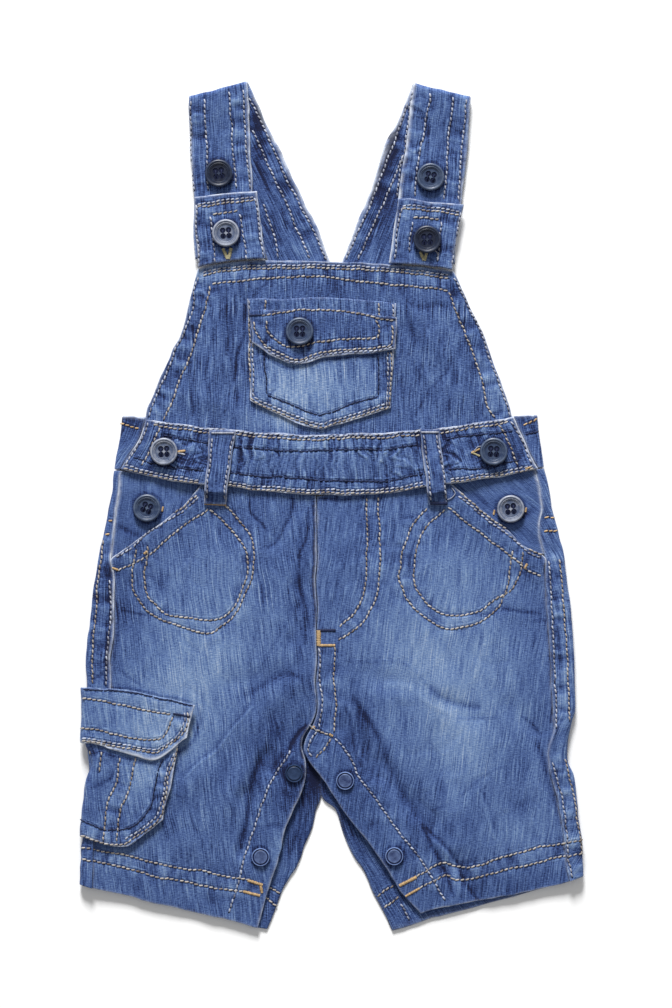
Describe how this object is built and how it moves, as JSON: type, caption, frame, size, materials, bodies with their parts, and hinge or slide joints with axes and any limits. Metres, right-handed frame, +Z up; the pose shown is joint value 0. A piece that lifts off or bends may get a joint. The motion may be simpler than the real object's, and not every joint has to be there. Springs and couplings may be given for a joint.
{
  "type": "kids dungarees",
  "caption": "Toddler's short dungarees in blue denim, laid flat: bib with a flap pocket, folded shoulder straps, gathered waistband, side pockets, cargo pocket and turned-up hems.",
  "frame": {"origin": "on the floor plane at the middle of the garment's footprint, which lies flat on its back", "axes": "+Z up out of the garment's front, +Y towards the shoulder straps, +X to the right as seen from above (the wearer's left)"},
  "size_m": [0.2782, 0.4679, 0.0098],
  "materials": {
    "denim": "washed blue twill",
    "denim_light": "faded blue twill",
    "button": "dull dark blue",
    "snap": "blue enamelled"
  },
  "bodies": {
    "root": {"back_bib": "denim", "back_leg_left": "denim", "back_leg_right": "denim", "back_waistband": "denim", "belt_loop_left": "denim", "belt_loop_right": "denim", "bib": "denim", "bib_pocket": "denim", "bib_pocket_flap": "denim", "cargo_pocket": "denim", "cargo_pocket_flap": "denim_light", "front_leg_left": "denim", "front_leg_right": "denim", "front_waistband": "denim", "hip_button_left": "button", "hip_button_right": "button", "hip_facing_left": "denim", "hip_facing_right": "denim", "pocket_button": "button", "snap_left_lower": "snap", "snap_left_upper": "snap", "snap_right_lower": "snap", "snap_right_upper": "snap", "strap_button_left_lower": "button", "strap_button_left_upper": "button", "strap_button_right_lower": "button", "strap_button_right_upper": "button", "strap_left": "denim", "strap_right": "denim", "strap_tab_left": "denim", "strap_tab_right": "denim", "waist_button_left": "button", "waist_button_right": "button"}
  },
  "joints": []
}
